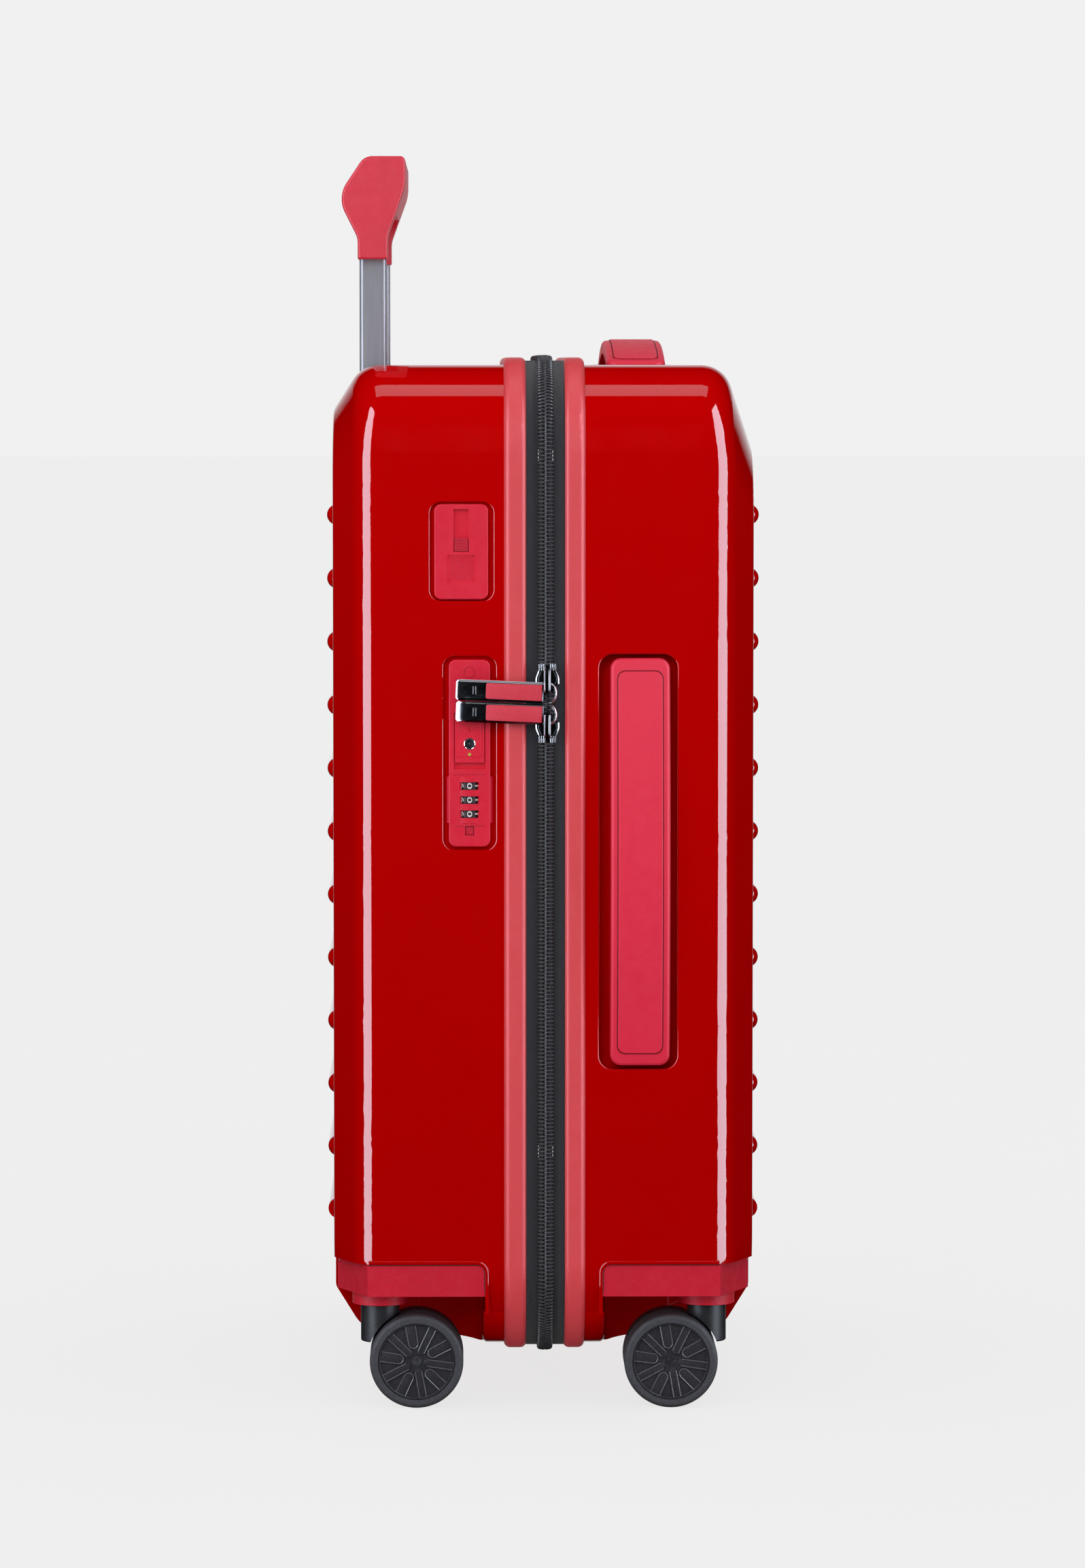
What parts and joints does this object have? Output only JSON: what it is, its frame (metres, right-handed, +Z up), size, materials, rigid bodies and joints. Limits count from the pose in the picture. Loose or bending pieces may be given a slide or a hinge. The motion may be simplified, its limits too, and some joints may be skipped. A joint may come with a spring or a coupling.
{
  "type": "hard shell suitcase",
  "caption": "Hard shell suitcase standing on twin-wheel casters, with a telescopic trolley, carry handles, a zip round the middle and a number lock.",
  "frame": {"origin": "on the floor, under the middle of the case", "axes": "+Z up; +X from the trolley half to the lid, through the case's thickness; +Y across the width, from the lock side to the fabric hinge"},
  "size_m": [0.2772, 0.4854, 0.8023],
  "materials": {
    "shell": "high-gloss red polycarbonate",
    "rim": "satin red moulded strip",
    "tape": "black herringbone zip tape",
    "zip_teeth": "black nylon coil",
    "hinge_fabric": "black woven hinge strip",
    "lining": "dark grey woven polyester lining",
    "divider": "dark grey woven divider",
    "webbing": "black webbing",
    "buckle": "black moulded buckle",
    "matte_red": "fine-grained matte red",
    "handle_red": "soft matte red",
    "lock_red": "fine-grained matte red",
    "button_red": "matte red button",
    "grip_red": "soft matte red",
    "black_plastic": "matte black",
    "dial_black": "black dial with white marks",
    "caster_black": "matte black",
    "hub_black": "satin black",
    "tyre": "charcoal soft tread",
    "tube": "grey anodised",
    "steel": "steel",
    "gunmetal": "black chrome"
  },
  "bodies": {
    "root": {"back_shell": "shell", "back_rim": "rim", "zip_tape_back": "tape", "zip_teeth_back": "zip_teeth", "hinge_tape_back": "hinge_fabric", "back_lining": "lining", "packing_straps": "webbing", "strap_buckle": "buckle", "wheel_blocks_back": "matte_red", "caster_stems_back": "steel", "block_screws_back": "steel", "lock_plate": "lock_red", "lock_case": "black_plastic", "tag_plate": "lock_red", "trolley_frame": "tube", "trolley_bezels": "black_plastic"},
    "lid": {"front_shell": "shell", "front_rim": "rim", "zip_tape_front": "tape", "zip_teeth_front": "zip_teeth", "hinge_tape_front": "hinge_fabric", "front_lining": "lining", "divider_panel": "divider", "wheel_blocks_front": "matte_red", "caster_stems_front": "steel", "block_screws_front": "steel", "handle_guides": "black_plastic"},
    "trolley_mid": {"trolley_mid_tubes": "tube"},
    "trolley_top": {"trolley_inner_tubes": "tube", "trolley_grip": "grip_red"},
    "trolley_button": {"trolley_button": "button_red"},
    "side_handle": {"side_handle": "handle_red"},
    "top_handle": {"top_handle": "handle_red"},
    "lock_release": {"lock_release": "lock_red"},
    "key_cylinder": {"key_cylinder": "steel"},
    "reset_button": {"reset_button": "button_red"},
    "tag_slider": {"tag_slider": "button_red"},
    "zip_slider_upper": {"zip_slider_upper": "gunmetal"},
    "zip_slider_lower": {"zip_slider_lower": "gunmetal"},
    "pull_tab_upper": {"pull_tab_upper": "gunmetal"},
    "pull_tab_lower": {"pull_tab_lower": "gunmetal"},
    "number_dial_1": {"number_dial_1": "dial_black"},
    "number_dial_2": {"number_dial_2": "dial_black"},
    "number_dial_3": {"number_dial_3": "dial_black"},
    "swivel_back_near": {"fork_back_near": "caster_black"},
    "wheels_back_near": {"axle_back_near": "steel", "hubs_back_near": "hub_black", "tyres_back_near": "tyre"},
    "swivel_back_far": {"fork_back_far": "caster_black"},
    "wheels_back_far": {"axle_back_far": "steel", "hubs_back_far": "hub_black", "tyres_back_far": "tyre"},
    "swivel_front_near": {"fork_front_near": "caster_black"},
    "wheels_front_near": {"axle_front_near": "steel", "hubs_front_near": "hub_black", "tyres_front_near": "tyre"},
    "swivel_front_far": {"fork_front_far": "caster_black"},
    "wheels_front_far": {"axle_front_far": "steel", "hubs_front_far": "hub_black", "tyres_front_far": "tyre"}
  },
  "joints": [
    {"name": "lid_hinge", "type": "hinge", "parent": "root", "child": "lid", "pos_m": [0.00095, 0.2385, 0.35], "axis": [0, 0, 1], "range_deg": [0, 180]},
    {"name": "trolley_mid_slide", "type": "slide", "parent": "root", "child": "trolley_mid", "axis": [0, 0, 1], "range_m": [0, 0.15]},
    {"name": "trolley_grip_slide", "type": "slide", "parent": "trolley_mid", "child": "trolley_top", "axis": [0, 0, 1], "range_m": [-0.066, 0.096]},
    {"name": "trolley_button_push", "type": "slide", "parent": "trolley_top", "child": "trolley_button", "axis": [0, 0, -1], "range_m": [0, 0.003], "stiffness_N_per_m": 400, "springref_m": -0.002},
    {"name": "side_handle_pull", "type": "slide", "parent": "lid", "child": "side_handle", "axis": [0, -1, 0], "range_m": [0, 0.012], "stiffness_N_per_m": 250},
    {"name": "top_handle_pull", "type": "slide", "parent": "lid", "child": "top_handle", "axis": [0, 0, 1], "range_m": [0, 0.012], "stiffness_N_per_m": 250},
    {"name": "lock_release_slide", "type": "slide", "parent": "root", "child": "lock_release", "axis": [0, 0, -1], "range_m": [0, 0.0038], "stiffness_N_per_m": 300, "springref_m": -0.001},
    {"name": "key_turn", "type": "hinge", "parent": "lock_release", "child": "key_cylinder", "pos_m": [-0.0473, -0.2308, 0.427], "axis": [0, 1, 0], "range_deg": [0, 90]},
    {"name": "reset_push", "type": "slide", "parent": "root", "child": "reset_button", "axis": [0, 1, 0], "range_m": [0, 0.001], "stiffness_N_per_m": 200},
    {"name": "tag_release_slide", "type": "slide", "parent": "root", "child": "tag_slider", "axis": [0, 0, 1], "range_m": [0, 0.0175]},
    {"name": "zip_upper_slide", "type": "slide", "parent": "root", "child": "zip_slider_upper", "axis": [0, 0, 1], "range_m": [0, 0.13]},
    {"name": "zip_lower_slide", "type": "slide", "parent": "root", "child": "zip_slider_lower", "axis": [0, 0, -1], "range_m": [0, 0.31]},
    {"name": "pull_tab_upper_swing", "type": "hinge", "parent": "zip_slider_upper", "child": "pull_tab_upper", "pos_m": [0.0054, -0.2409, 0.4596], "axis": [0, 0, 1], "range_deg": [0, 140]},
    {"name": "pull_tab_lower_swing", "type": "hinge", "parent": "zip_slider_lower", "child": "pull_tab_lower", "pos_m": [0.0054, -0.2409, 0.4459], "axis": [0, 0, 1], "range_deg": [0, 140]},
    {"name": "number_dial_1_turn", "type": "hinge", "parent": "root", "child": "number_dial_1", "pos_m": [-0.0473, -0.2214, 0.4002], "axis": [0, 0, 1], "continuous": true},
    {"name": "number_dial_2_turn", "type": "hinge", "parent": "root", "child": "number_dial_2", "pos_m": [-0.0473, -0.2214, 0.39125], "axis": [0, 0, 1], "continuous": true},
    {"name": "number_dial_3_turn", "type": "hinge", "parent": "root", "child": "number_dial_3", "pos_m": [-0.0473, -0.2214, 0.3823], "axis": [0, 0, 1], "continuous": true},
    {"name": "caster_back_near_swivel", "type": "hinge", "parent": "root", "child": "swivel_back_near", "pos_m": [-0.105, -0.2, 0.06], "axis": [0, 0, 1], "continuous": true},
    {"name": "caster_back_near_roll", "type": "hinge", "parent": "swivel_back_near", "child": "wheels_back_near", "pos_m": [-0.0815, -0.2, 0.03], "axis": [0, 1, 0], "continuous": true},
    {"name": "caster_back_far_swivel", "type": "hinge", "parent": "root", "child": "swivel_back_far", "pos_m": [-0.105, 0.2, 0.06], "axis": [0, 0, 1], "continuous": true},
    {"name": "caster_back_far_roll", "type": "hinge", "parent": "swivel_back_far", "child": "wheels_back_far", "pos_m": [-0.0815, 0.2, 0.03], "axis": [0, 1, 0], "continuous": true},
    {"name": "caster_front_near_swivel", "type": "hinge", "parent": "lid", "child": "swivel_front_near", "pos_m": [0.105, -0.2, 0.06], "axis": [0, 0, 1], "continuous": true},
    {"name": "caster_front_near_roll", "type": "hinge", "parent": "swivel_front_near", "child": "wheels_front_near", "pos_m": [0.0815, -0.2, 0.03], "axis": [0, 1, 0], "continuous": true},
    {"name": "caster_front_far_swivel", "type": "hinge", "parent": "lid", "child": "swivel_front_far", "pos_m": [0.105, 0.2, 0.06], "axis": [0, 0, 1], "continuous": true},
    {"name": "caster_front_far_roll", "type": "hinge", "parent": "swivel_front_far", "child": "wheels_front_far", "pos_m": [0.0815, 0.2, 0.03], "axis": [0, 1, 0], "continuous": true}
  ]
}
